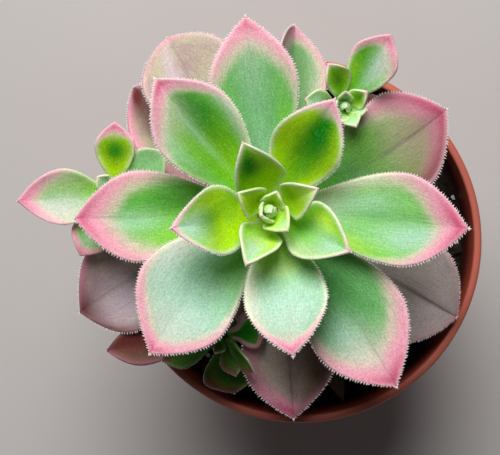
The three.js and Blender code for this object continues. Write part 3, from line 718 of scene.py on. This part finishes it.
def make_pot():
    inner_lip = LIP_RADIUS - LIP_WIDTH
    outline = [
        (0, 0),
        (PAD_RADIUS, 0),
        (PAD_RADIUS + CHANNEL_SLANT, CHANNEL_HEIGHT),
        (CHANNEL_OUTER - CHANNEL_SLANT, CHANNEL_HEIGHT),
        (CHANNEL_OUTER, 0),
        *arc((FOOT_RADIUS - FOOT_ROUND, FOOT_ROUND), FOOT_ROUND, -90, 0),
        (BODY_OUTER, SHOULDER - 1),
        *arc((COLLAR_OUTER - COLLAR_ROUND, SHOULDER + 0.3), COLLAR_ROUND, -70, 0),
        (LIP_RADIUS - 0.7, POT_HEIGHT - LIP_DEPTH),
        *arc((LIP_RADIUS - LIP_ROUND, POT_HEIGHT - LIP_ROUND), LIP_ROUND, -20, 90),
        *arc((inner_lip + LIP_INNER_ROUND, POT_HEIGHT - LIP_INNER_ROUND), LIP_INNER_ROUND, 90, 180),
        (COLLAR_INNER, SHOULDER + 1.6),
        (BODY_INNER, SHOULDER - 1),
        (FOOT_RADIUS - POT_WALL, POT_FLOOR),
        (PAD_RADIUS + 0.6, POT_FLOOR),
        (PAD_RADIUS - 0.8, POT_WALL),
        (0, POT_WALL),
    ]
    shell = new_piece("pot_shell", spun(outline, POT_STEPS), ["pot"], [POT_PLASTIC])
    drills = bmesh.new()
    for i in range(DRAIN_HOLES):
        angle = 2 * math.pi * i / DRAIN_HOLES
        centre = Vector((DRAIN_RING * math.cos(angle), DRAIN_RING * math.sin(angle), 0)) * MM
        bmesh.ops.create_cone(
            drills, cap_ends=True, segments=32, radius1=DRAIN_RADIUS * MM, radius2=DRAIN_RADIUS * MM,
            depth=4 * POT_FLOOR * MM, matrix=Matrix.Translation(centre))
    cutter = mesh_object("drills", drills)
    cut = shell.modifiers.new("drain_holes", "BOOLEAN")
    cut.object = cutter
    cut.solver = "EXACT"
    settle(shell)
    bpy.data.objects.remove(cutter)
    shade_smooth(shell)
    sharpen(shell, CRISP_EDGE)


def settle(piece):
    """Turns a piece's modifiers into its mesh."""
    made = evaluated_mesh(piece)
    piece.modifiers.clear()
    piece.data = made


def sharpen(piece, degrees):
    """Keeps the edges that turn by more than this many degrees crisp."""
    mesh = bmesh.new()
    mesh.from_mesh(piece.data)
    for edge in mesh.edges:
        edge.smooth = len(edge.link_faces) == 2 and edge.calc_face_angle(0) < math.radians(degrees)
    mesh.to_mesh(piece.data)
    mesh.free()


def soil_height(x, y):
    first, second = [math.sin(a * x + b * y + start) for a, b, start in SOIL_WAVES]
    rise = SOIL_RELIEF * (first + second)
    return SOIL_TOP + rise + SOIL_ROUGHNESS * noise.noise(Vector((x, y, 0)) / SOIL_LUMP)


def make_soil():
    rim = COLLAR_INNER - GAP
    floor = POT_FLOOR + GAP
    rings = [rim * i / SOIL_RINGS for i in reversed(range(SOIL_RINGS))]
    outline = [
        (0, floor),
        (FOOT_RADIUS - POT_WALL - GAP, floor),
        (BODY_INNER - GAP, SHOULDER - 0.8),
        (rim, SHOULDER + 1.9),
        (rim, SOIL_TOP - 0.4),
        *[(radius, SOIL_TOP) for radius in rings],
    ]
    bed = spun(outline, SOIL_STEPS)
    for vert in bed.verts:
        x, y, z = vert.co / MM
        if z > SOIL_TOP - 0.1:
            vert.co.z = soil_height(x, y) * MM
    for face in bed.faces:
        face.smooth = True
    new_piece("soil_bed", bed, ["soil"], [SOIL_MIX])

    chance = random.Random(SOIL_SEED)
    crumbs = bmesh.new()
    for _ in range(CRUMBS):
        spot = random_spot(chance, rim)
        scatter(crumbs, chance, spot, chance.uniform(*CRUMB_SIZES) ** 1.3, CRUMB_SQUAT)
    new_piece("soil_crumbs", crumbs, (), [SOIL_CRUMB])

    grains = bmesh.new()
    spots = SEEN_GRAINS + [random_spot(chance, rim) for _ in range(PERLITE_GRAINS)]
    for spot in spots:
        scatter(grains, chance, spot, chance.uniform(*PERLITE_SIZES), PERLITE_SQUAT)
    new_piece("perlite_grains", grains, (), [PERLITE])


def random_spot(chance, rim):
    angle = chance.uniform(0, 2 * math.pi)
    radius = (rim - BARE_SOIL_RIM) * math.sqrt(chance.random())
    return radius * math.cos(angle), radius * math.sin(angle)


def scatter(mesh, chance, spot, size, squat):
    """One rough lump lying on the soil."""
    x, y = spot
    turn = Matrix.Rotation(chance.uniform(0, 6.3), 4, "Z")
    turn = turn @ Matrix.Rotation(chance.uniform(-LUMP_TILT, LUMP_TILT), 4, "X")
    length = size * chance.uniform(0.8, 1.5)
    height = size * squat * chance.uniform(0.6, 1)
    scale = Matrix.Diagonal((length, size, height, 1))
    place = Matrix.Translation(Vector((x, y, soil_height(x, y) + 0.2 * size)))
    lump = bmesh.ops.create_icosphere(
        mesh, subdivisions=1, radius=1, matrix=Matrix.Scale(MM, 4) @ place @ turn @ scale)
    for vert in lump["verts"]:
        vert.co += Vector([chance.uniform(-LUMP_DENT, LUMP_DENT) * size * MM for _ in range(3)])


def limb(name, route, start_radius, end_radius):
    """A round woody limb along a smooth curve, as a plain mesh."""
    curve = bpy.data.curves.new(name, "CURVE")
    curve.dimensions = "3D"
    curve.bevel_depth = MM
    curve.bevel_resolution = 6
    curve.resolution_u = 10
    curve.use_fill_caps = True
    spline = curve.splines.new("BEZIER")
    spline.bezier_points.add(len(route) - 1)
    for i, (knot, place) in enumerate(zip(spline.bezier_points, route)):
        knot.co = Vector(place) * MM
        knot.handle_left_type = knot.handle_right_type = "AUTO"
        knot.radius = start_radius + (end_radius - start_radius) * i / (len(route) - 1)
    source = new_object(name, curve)
    made = evaluated_mesh(source)
    bpy.data.objects.remove(source)
    return made


def make_stem():
    wood = bmesh.new()
    wood.from_mesh(limb("trunk", TRUNK, STEM_FOOT_RADIUS, STEM_TIP_RADIUS))
    for name, (axis, neck, start, bend, _) in SIDE_ROSETTES.items():
        route = [start, bend, (*axis, neck - NECK_LENGTH), (*axis, neck)]
        wood.from_mesh(limb(name, route, BRANCH_RADIUS, NECK_RADIUS))
        add_knob(wood, axis, NECK_RADIUS, neck)
    add_knob(wood, CROWN, NECK_RADIUS * 0.7, STEM_TIP + 1)
    bmesh.ops.remove_doubles(wood, verts=wood.verts, dist=MERGED * MM)
    stem = new_piece("woody_stem", wood, ["stem"], [BARK])
    fuse = stem.modifiers.new("fuse", "REMESH")
    fuse.mode = "VOXEL"
    fuse.voxel_size = STEM_VOXEL * MM
    settle(stem)
    for vert in stem.data.vertices:
        place = vert.co / MM
        scar = SCAR_HEIGHT * math.sin(SCAR_RATE * place.z + 1.5 * noise.noise(place / 5))
        rough = BARK_ROUGHNESS * noise.noise(place / BARK_GRAIN)
        vert.co += vert.normal * (scar + rough) * MM
    shade_smooth(stem)


def add_knob(mesh, axis, radius, low):
    """The short growing tip in the middle of a head, which its leaves' roots meet."""
    place = Matrix.Translation(Vector((*axis, low + 2)) * MM)
    bmesh.ops.create_cone(
        mesh, cap_ends=True, segments=24, radius1=radius * MM, radius2=radius * 0.5 * MM,
        depth=KNOB_HEIGHT * MM, matrix=place)


# ---------- materials


def paint(red, green, blue):
    """A colour as read off a screen, 0 to 255, turned into the light that it stands for."""
    def linear(value):
        share = value / 255
        return share / 12.92 if share <= 0.04045 else ((share + 0.055) / 1.055) ** 2.4
    return (linear(red), linear(green), linear(blue), 1)


GOLDEN_GREEN = paint(196, 238, 8)
LEAF_GREEN = paint(120, 200, 36)
BLUE_GREEN = paint(110, 178, 104)
# deep green: partly the leaves' own colour, partly painted shade
DEEP_GREEN_AND_SHADE = paint(2, 134, 0)
# pale waxy bloom, also used as a painted sheen
BLOOM_AND_SHEEN = paint(186, 224, 210)
WARM_MAUVE = paint(204, 182, 168)
COOL_MAUVE = paint(186, 156, 160)
# bloom and painted sheen on mauve leaves
MAUVE_BLOOM_AND_SHEEN = paint(222, 204, 218)
# cream: pale leaf colour, also used as painted light on shaded places
CREAM_AND_PAINTED_LIGHT = paint(232, 216, 206)
FLUSH_CREAM = paint(226, 206, 190)
FLUSH_PINK = paint(240, 164, 184)
FLUSH_ROSE = paint(216, 82, 126)
# dark red-brown: partly the leaves' own reddening, partly painted shade
DARK_RED_AND_SHADE = paint(98, 38, 36)
GREEN_RIM = paint(234, 242, 204)
PINK_RIM = paint(250, 206, 212)
DARK_RIB = paint(84, 56, 74)
PALE_DOWN = paint(236, 248, 228)
DOWN_DOTS = paint(240, 250, 232)
LIT_DOWN = (1.7, 1.7, 1.7, 1)
SHADED_DOWN = paint(30, 50, 30)
PINKISH_TOOTH = paint(255, 240, 243)
CREAMY_TOOTH = paint(255, 254, 250)
DRY_BROWN = paint(52, 34, 30)
DRY_TAN = paint(104, 74, 58)
CLAY = paint(190, 82, 58)
DARK_CLAY = paint(172, 68, 48)
CLAY_SPECKS = paint(214, 150, 124)
CLAY_DUST = paint(196, 150, 126)
CLAY_STREAKS = paint(120, 44, 30)
# painted highlight on the lip
LIP_HIGHLIGHT = paint(222, 162, 146)
# painted shade on the inner wall
INNER_WALL_SHADE = paint(44, 14, 9)
SOIL_FLECKS = paint(92, 70, 54)
PERLITE_GREY = paint(150, 148, 145)
PERLITE_WHITE = paint(222, 220, 214)
BARK_BROWN = paint(92, 68, 50)
BARK_SCARS = paint(150, 126, 98)
BARK_CRACKS = paint(58, 42, 32)
GREEN_WOOD = paint(132, 150, 84)
FLOOR_LIGHT = paint(192, 188, 185)
FLOOR_DARK = paint(184, 179, 176)


class Wire:
    """A value in a material. Arithmetic on it adds Math nodes."""

    def __init__(self, finish, socket):
        self.finish = finish
        self.socket = socket

    def math(self, operation, *others):
        inputs = dict(enumerate((self, *others)))
        return self.finish.node("Math", {"operation": operation}, inputs)

    def __add__(self, other):
        return self.math("ADD", other)

    __radd__ = __add__

    def __sub__(self, other):
        return self.math("SUBTRACT", other)

    def __rsub__(self, other):
        return self.finish.node("Math", {"operation": "SUBTRACT"}, {0: other, 1: self})

    def __mul__(self, other):
        return self.math("MULTIPLY", other)

    __rmul__ = __mul__

    def __abs__(self):
        return self.math("ABSOLUTE")

    def clamped(self):
        return self.finish.node("Clamp", {}, {0: self, 1: 0, 2: 1})

    def step(self, low, high):
        """0 below low, 1 above high, and a soft rise between them."""
        inputs = {"Value": self, "From Min": low, "From Max": high}
        return self.finish.node("MapRange", {"interpolation_type": "SMOOTHSTEP"}, inputs)

    def step_mm(self, low, high):
        """The same for a length, with the two ends in millimetres."""
        return self.step(low * MM, high * MM)


class Finish:
    """One material, built up from wires."""

    def __init__(self, name, **constants):
        self.material = bpy.data.materials.new(name)
        self.material.use_nodes = True
        self.tree = self.material.node_tree
        self.shader = self.tree.nodes["Principled BSDF"]
        for socket, value in constants.items():
            self.shader.inputs[socket.replace("_", " ")].default_value = value

    def node(self, kind, settings, inputs, output=0):
        made = self.tree.nodes.new("ShaderNode" + kind)
        for name, value in settings.items():
            setattr(made, name, value)
        for key, value in inputs.items():
            self.feed(made.inputs[key], value)
        return Wire(self, made.outputs[output])

    def feed(self, socket, value):
        if isinstance(value, Wire):
            self.tree.links.new(value.socket, socket)
        else:
            socket.default_value = value

    def place(self):
        return self.node("TexCoord", {}, {}, "Object")

    def zone(self, name):
        return self.node("Attribute", {"attribute_name": name}, {}, "Fac")

    def height(self, place):
        return self.node("SeparateXYZ", {}, {0: place}, 2)

    def scaled(self, vector, factors):
        return self.node("VectorMath", {"operation": "MULTIPLY"}, {0: vector, 1: factors})

    def grain(self, place, size, detail=3, roughness=0.5):
        """Soft noise whose spots are about size millimetres across, from 0 to 1."""
        inputs = {"Vector": place, "Scale": 1 / (size * MM), "Detail": detail, "Roughness": roughness}
        return self.node("TexNoise", {}, inputs, "Fac")

    def mix(self, share, first, second, blend="MIX"):
        settings = {"data_type": "RGBA", "blend_type": blend}
        return self.node("Mix", settings, {0: share, 6: first, 7: second}, 2)

    def bump(self, height, distance, strength, below=None):
        """Relief that stands distance millimetres high, on top of the relief below it."""
        inputs = {"Height": height, "Distance": distance * MM, "Strength": strength}
        if below is not None:
            inputs["Normal"] = below
        return self.node("Bump", {}, inputs)

    def apply(self, color, roughness, normal=None):
        self.feed(self.shader.inputs["Base Color"], color)
        self.feed(self.shader.inputs["Roughness"], roughness)
        if normal is not None:
            self.feed(self.shader.inputs["Normal"], normal)
        return self.material


def leaf_skin():
    """Green, gold, mauve and pink skin, blended by the zones that each blade carries."""
    skin = Finish(
        "leaf_skin", Subsurface_Weight=0.15, Subsurface_Radius=(0.7, 1, 0.35),
        Subsurface_Scale=1.2 * MM, Specular_IOR_Level=0.12)
    place = skin.place()
    down = skin.grain(place, 0.45, 2, 0.6)
    cells = skin.grain(place, 1.1, 3, 0.6)
    cloud = skin.grain(place, 6, 3, 0.55)
    uv = skin.node("UVMap", {}, {})
    stretched = skin.scaled(uv, (50, 12, 1))
    veins = skin.node("TexNoise", {}, {"Vector": stretched, "Scale": 1, "Detail": 3}, "Fac")
    across = skin.node("SeparateXYZ", {}, {0: uv})
    line = (1 - abs(across - 0.5) * 26).clamped().step(0, 1)

    tint = (skin.zone("tint") + (cloud - 0.5) * 0.3).clamped()
    green = skin.mix(tint.step(0, 0.5), GOLDEN_GREEN, LEAF_GREEN)
    green = skin.mix(tint.step(0.45, 1), green, BLUE_GREEN)
    # painted shade: the deep green patches are partly the leaves' own dark green and partly shade painted
    # onto leaves that lie in shadow
    deep_and_shade = (skin.zone("deep_and_shade") * (0.8 + 0.4 * cloud)).clamped()
    green = skin.mix(deep_and_shade, green, DEEP_GREEN_AND_SHADE)
    # painted sheen: the pale bloom patches are partly waxy bloom and partly a sheen painted where leaves
    # face the light, also lightening shaded roots
    bloom_and_sheen = (skin.zone("bloom_and_sheen") * (0.7 + 0.6 * cells)).clamped()
    green = skin.mix(bloom_and_sheen * 0.8, green, BLOOM_AND_SHEEN)

    mauve = skin.mix(cloud.step(0.35, 0.65), WARM_MAUVE, COOL_MAUVE)
    body = skin.mix((skin.zone("mauve") + (cloud - 0.5) * 0.2).clamped(), green, mauve)
    # the same bloom and painted sheen over the mauve leaves
    body = skin.mix(skin.zone("bloom_and_sheen") * skin.zone("mauve") * 0.8, body, MAUVE_BLOOM_AND_SHEEN)
    # painted light: cream patches are partly pale leaf colour and partly lighten places that lie in shade
    body = skin.mix(skin.zone("cream_and_painted_light") * 0.75, body, CREAM_AND_PAINTED_LIGHT)

    flush = (skin.zone("flush") + (veins - 0.5) * 0.25 * skin.zone("flush").step(0, 0.3)).clamped()
    aged = skin.zone("mauve").clamped()
    body = skin.mix(flush.step(0.02, 0.3) * (0.7 - 0.6 * aged), body, FLUSH_CREAM)
    body = skin.mix(flush.step(0.18, 0.6) * 0.95, body, FLUSH_PINK)
    body = skin.mix(flush.step(0.55, 1.0), body, FLUSH_ROSE)
    # painted shade: the dark red-brown patches are partly the leaves' own reddening and partly shade
    # painted where leaves face away from the light
    body = skin.mix(skin.zone("dark_red_and_shade"), body, DARK_RED_AND_SHADE)
    rim = skin.mix(flush.step(0.1, 0.6), GREEN_RIM, PINK_RIM)
    body = skin.mix(skin.zone("edge").clamped() * 0.95, body, rim)
    body = skin.mix(line * skin.zone("rib") * 0.7, body, DARK_RIB)
    bare = 1 - 0.7 * skin.zone("dark_red_and_shade")
    fuzz = ((down - 0.5) * (0.7 + 0.3 * tint) + (veins - 0.5) * 0.4) * bare
    body = skin.mix(fuzz.clamped() * 0.3, body, PALE_DOWN)
    body = skin.mix(fuzz.clamped(), body, LIT_DOWN, "MULTIPLY")
    body = skin.mix((0 - fuzz).clamped(), body, SHADED_DOWN, "MULTIPLY")
    body = skin.mix(down.step(0.68, 0.78) * (0.16 - 0.14 * aged) * bare, body, DOWN_DOTS)

    rough = 0.5 + 0.18 * cells + 0.12 * skin.zone("flush")
    relief = skin.bump(cloud, 0.9, 0.35)
    relief = skin.bump(veins, 0.25, 0.4, relief)
    relief = skin.bump(down, 0.08, 0.5, relief)
    return skin.apply(body, rough, relief)


def glowing_tooth_white():
    # painted glow: a faint emission makes the teeth shine although they give no light
    tooth = Finish(
        "glowing_tooth_white", Subsurface_Weight=1, Subsurface_Radius=(1, 0.9, 0.9), Subsurface_Scale=0.8 * MM,
        Emission_Color=(1, 0.92, 0.94, 1), Emission_Strength=0.14)
    pale = tooth.mix(tooth.grain(tooth.place(), 5), PINKISH_TOOTH, CREAMY_TOOTH)
    return tooth.apply(pale, 0.5)


def withered_skin():
    dry = Finish("withered_skin")
    place = dry.place()
    folds = dry.grain(place, 1.6, 5, 0.65)
    brown = dry.mix(folds, DRY_BROWN, DRY_TAN)
    return dry.apply(brown, 0.7 + 0.2 * folds, dry.bump(folds, 0.6, 0.8))


def pot_plastic():
    """Dull terracotta-coloured plastic, with a painted highlight along its lip, dusty low down, and
    painted shade on the inner wall above the soil.
    """
    plastic = Finish("pot_plastic", Subsurface_Weight=0.06, Subsurface_Scale=1 * MM)
    place = plastic.place()
    cloud = plastic.grain(place, 18, 4)
    fine = plastic.grain(place, 0.9, 3, 0.6)
    streaks = plastic.grain(plastic.scaled(place, (1, 1, 0.06)), 4, 4)
    height = plastic.height(place)
    clay = plastic.mix(cloud, CLAY, DARK_CLAY)
    clay = plastic.mix(fine.step(0.62, 0.8) * 0.3, clay, CLAY_SPECKS)
    low = 1 - height.step_mm(*DUST_HEIGHTS)
    clay = plastic.mix((low * streaks.step(0.4, 0.9) * 0.22).clamped(), clay, CLAY_DUST)
    clay = plastic.mix((streaks.step(0.6, 0.8) * 0.18).clamped(), clay, CLAY_STREAKS)
    # painted highlight: the top of the lip is paler
    clay = plastic.mix(height.step_mm(LIP_HIGHLIGHT_LOW, POT_HEIGHT) * 0.16, clay, LIP_HIGHLIGHT)
    # painted shade on the inner wall of the collar, above the soil
    flat = plastic.scaled(place, (1, 1, 0))
    radius = plastic.node("VectorMath", {"operation": "LENGTH"}, {0: flat}, 1)
    inner_shade = (1 - radius.step_mm(*INNER_SHADE_RADII)) * height.step_mm(*INNER_SHADE_HEIGHTS)
    clay = plastic.mix(inner_shade * 0.85, clay, INNER_WALL_SHADE)
    rough = 0.36 + 0.16 * cloud + 0.1 * fine
    return plastic.apply(clay, rough, plastic.bump(fine, 0.06, 0.35, plastic.bump(cloud, 0.4, 0.2)))


def soil_mix(name, dark, light):
    earth = Finish(name, Specular_IOR_Level=0.25)
    place = earth.place()
    coarse = earth.grain(place, 2.4, 5, 0.7)
    fine = earth.grain(place, 0.5, 4, 0.7)
    brown = earth.mix(coarse.step(0.3, 0.75), dark, light)
    brown = earth.mix(fine.step(0.55, 0.9) * 0.4, brown, SOIL_FLECKS)
    relief = earth.bump(fine, 0.4, 0.8, earth.bump(coarse, 1.2, 0.8))
    return earth.apply(brown, 0.85 + 0.12 * fine, relief)


def perlite():
    grain = Finish("perlite")
    pits = grain.grain(grain.place(), 0.5, 4, 0.7)
    grey = grain.mix(pits, PERLITE_GREY, PERLITE_WHITE)
    return grain.apply(grey, 0.85, grain.bump(pits, 0.3, 0.8))


def bark():
    """Grey-brown stem bark with pale rings of old leaf scars."""
    wood = Finish("bark")
    place = wood.place()
    scars = wood.grain(wood.scaled(place, (0.35, 0.35, 1.6)), 2.2, 4, 0.6)
    fine = wood.grain(place, 0.5, 4, 0.7)
    brown = wood.mix(scars.step(0.35, 0.65), BARK_BROWN, BARK_SCARS)
    green = wood.height(place).step_mm(*GREEN_WOOD_HEIGHTS) * 0.6
    brown = wood.mix(green, brown, GREEN_WOOD)
    brown = wood.mix(fine.step(0.6, 0.9) * 0.5, brown, BARK_CRACKS)
    return wood.apply(brown, 0.75 + 0.15 * fine, wood.bump(fine, 0.3, 0.6, wood.bump(scars, 0.8, 0.8)))


def floor_pale():
    board = Finish("floor_pale")
    cloud = board.grain(board.place(), 60, 4)
    return board.apply(board.mix(cloud, FLOOR_LIGHT, FLOOR_DARK), 0.7)


LEAF_SKIN = leaf_skin()
GLOWING_TOOTH_WHITE = glowing_tooth_white()
WITHERED_SKIN = withered_skin()
POT_PLASTIC = pot_plastic()
SOIL_MIX = soil_mix("soil_mix", paint(20, 14, 12), paint(44, 32, 26))
SOIL_CRUMB = soil_mix("soil_crumb", paint(26, 18, 15), paint(62, 46, 36))
PERLITE = perlite()
BARK = bark()

# ---------- camera, light and floor

# Each light's place and size in metres, its watts and its colour.
LIGHTS = {
    "window": ((-0.15, 0.66, 0.98), 0.85, 13.4, (1, 0.99, 0.985)),
    "top_fill": ((-0.1, 0.8, 1.0), 0.6, 4.4, (1, 1, 1)),
    "front_fill": ((0.3, -1.0, 0.6), 0.8, 0.05, (1, 1, 1)),
}
LIGHT_AIM = (0, 0, 0.1)
SKY_COLOR = (0.92, 0.96, 1, 1)
SKY_STRENGTH = 0.055


def make_camera():
    data = bpy.data.cameras.new("camera")
    data.lens = LENS
    data.sensor_width = SENSOR_WIDTH
    data.sensor_fit = "HORIZONTAL"
    data.clip_start = CAMERA_NEAR * MM
    camera = new_object("camera", data)
    camera.location = Vector(CAMERA_PLACE) * MM
    bpy.context.scene.camera = camera


def soft_light(name, place, size, power, color):
    data = bpy.data.lights.new(name, "AREA")
    data.shape = "DISK"
    data.size = size
    data.energy = power
    data.color = color
    light = new_object(name, data)
    light.location = place
    light.rotation_euler = (Vector(LIGHT_AIM) - Vector(place)).to_track_quat("-Z", "Y").to_euler()


def make_studio():
    for name, (place, size, power, color) in LIGHTS.items():
        soft_light(name, place, size, power, color)
    world = bpy.data.worlds.new("studio")
    world.use_nodes = True
    sky = world.node_tree.nodes["Background"]
    sky.inputs["Color"].default_value = SKY_COLOR
    sky.inputs["Strength"].default_value = SKY_STRENGTH
    bpy.context.scene.world = world
    sheet = bmesh.new()
    bmesh.ops.create_grid(sheet, x_segments=1, y_segments=1, size=FLOOR_SIZE * MM)
    bmesh.ops.translate(sheet, verts=sheet.verts, vec=(0, 0, -FLOOR_DROP * MM))
    floor = mesh_object("floor", sheet)
    floor.data.materials.append(floor_pale())


make_camera()
make_studio()
make_pot()
make_soil()
make_stem()
make_leaves()
make_withered_leaf()

bpy.context.scene.view_settings.view_transform = "Standard"
